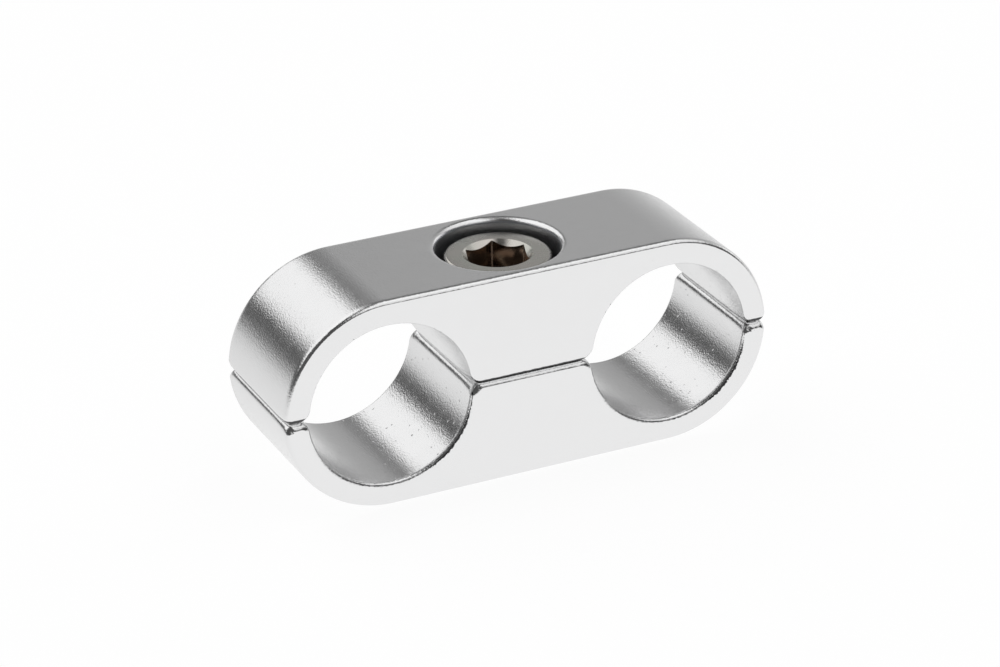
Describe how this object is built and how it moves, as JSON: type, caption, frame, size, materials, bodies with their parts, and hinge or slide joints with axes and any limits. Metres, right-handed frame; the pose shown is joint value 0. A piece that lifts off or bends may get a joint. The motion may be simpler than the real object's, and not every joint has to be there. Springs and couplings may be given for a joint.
{
  "type": "hose separator clamp",
  "caption": "Split obround metal clamp that holds a pair of hoses side by side, drawn together by a central socket head cap screw.",
  "frame": {"origin": "where the screw axis meets the split plane, which is also the middle of the clamp's box", "axes": "+X from the left hose to the right hose, +Y along the hoses towards the back face, +Z out of the screw head's pocket"},
  "size_m": [0.0488, 0.0142, 0.0204],
  "materials": {
    "satin_metal": "satin, bead-blasted and plated, with softened edges",
    "screw_steel": "stainless, lightly polished"
  },
  "bodies": {
    "lower_half": {"lower_half": "satin_metal"},
    "upper_half": {"upper_half": "satin_metal"},
    "cap_screw": {"cap_screw": "screw_steel"}
  },
  "joints": [
    {"name": "jaw_open", "type": "slide", "parent": "lower_half", "child": "upper_half", "axis": [0, 0, 1], "range_m": [0, 0.008]},
    {"name": "screw_turn", "type": "hinge", "parent": "upper_half", "child": "cap_screw", "pos_m": [0, 0, 0], "axis": [0, 0, 1], "range_deg": [0, 2881]}
  ],
  "couplings": [
    {"joint": "screw_turn", "follows": "jaw_open", "rad_per_m": 6283.2}
  ]
}
